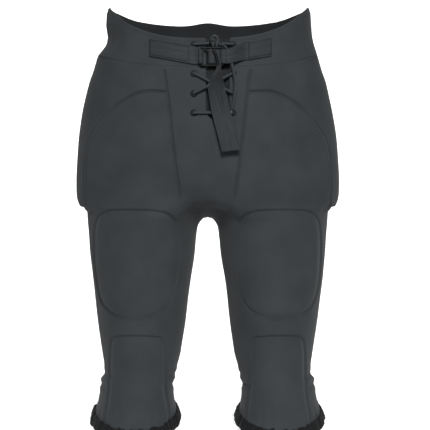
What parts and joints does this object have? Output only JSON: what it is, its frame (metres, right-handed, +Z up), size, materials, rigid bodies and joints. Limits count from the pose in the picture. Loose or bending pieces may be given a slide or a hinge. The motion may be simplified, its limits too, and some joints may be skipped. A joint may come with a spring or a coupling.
{
  "type": "padded sports pants",
  "caption": "Knee-length close-fitting sports pants with a laced fly, a webbing belt and buckle, and foam pads held inside at the hips, tailbone, thighs and knees.",
  "frame": {"origin": "centre of the waist opening", "axes": "+Z up, +X to the wearer's left, -Y to the wearer's front"},
  "size_m": [0.4068, 0.2538, 0.6626],
  "materials": {
    "knit": "matte warp knit with a faint rib",
    "waistband": "matte double knit",
    "lining": "matte mesh lining",
    "elastic": "ribbed elastic tape",
    "foam": "closed-cell foam, satin",
    "binding": "overlocked edge thread",
    "webbing": "woven webbing, slight sheen",
    "lace": "flat braid",
    "metal": "black finish, semi-gloss",
    "tip": "clear-coated dark tip"
  },
  "bodies": {
    "root": {"hip_yoke_left": "knit", "hip_yoke_right": "knit", "front_leg_left": "knit", "front_leg_right": "knit", "seat_left": "knit", "seat_right": "knit", "back_leg_left": "knit", "back_leg_right": "knit", "front_gusset": "knit", "waistband_front_left": "waistband", "waistband_front_right": "waistband", "waistband_back": "waistband", "thigh_pocket_left": "lining", "thigh_pocket_right": "lining", "knee_pocket_left": "lining", "knee_pocket_right": "lining", "hip_pocket_left": "lining", "hip_pocket_right": "lining", "tailbone_pocket": "lining", "fly_tongue": "lining", "fly_placket_left": "lining", "fly_placket_right": "lining", "waist_elastic": "elastic", "leg_elastic_left": "elastic", "leg_elastic_right": "elastic", "thigh_pad_left": "foam", "thigh_pad_right": "foam", "knee_pad_left": "foam", "knee_pad_right": "foam", "hip_pad_left": "foam", "hip_pad_right": "foam", "tailbone_pad": "foam", "hem_binding_left": "binding", "hem_binding_right": "binding", "belt_strap_right": "webbing", "belt_strap_left": "webbing", "belt_span_left": "webbing", "lace_main": "lace", "lace_knot": "lace", "lace_tail_left": "lace", "lace_tail_right": "lace", "eyelet_left_1": "metal", "eyelet_left_2": "metal", "eyelet_left_3": "metal", "eyelet_left_4": "metal", "eyelet_right_1": "metal", "eyelet_right_2": "metal", "eyelet_right_3": "metal", "eyelet_right_4": "metal", "lace_aglet_left": "tip", "lace_aglet_right": "tip"},
    "buckle": {"belt_buckle": "metal", "belt_wrap": "webbing"},
    "tail": {"belt_tail": "webbing"}
  },
  "joints": [
    {"name": "buckle_lift", "type": "hinge", "parent": "root", "child": "buckle", "pos_m": [-0.01, -0.1076, -0.062], "axis": [0, 0, -1], "range_deg": [0, 25], "deforming": ["belt_span_left"]},
    {"name": "tail_swing", "type": "hinge", "parent": "buckle", "child": "tail", "pos_m": [0.0125, -0.1124, -0.0508], "axis": [-1, 0, 0], "range_deg": [0, 85]}
  ]
}
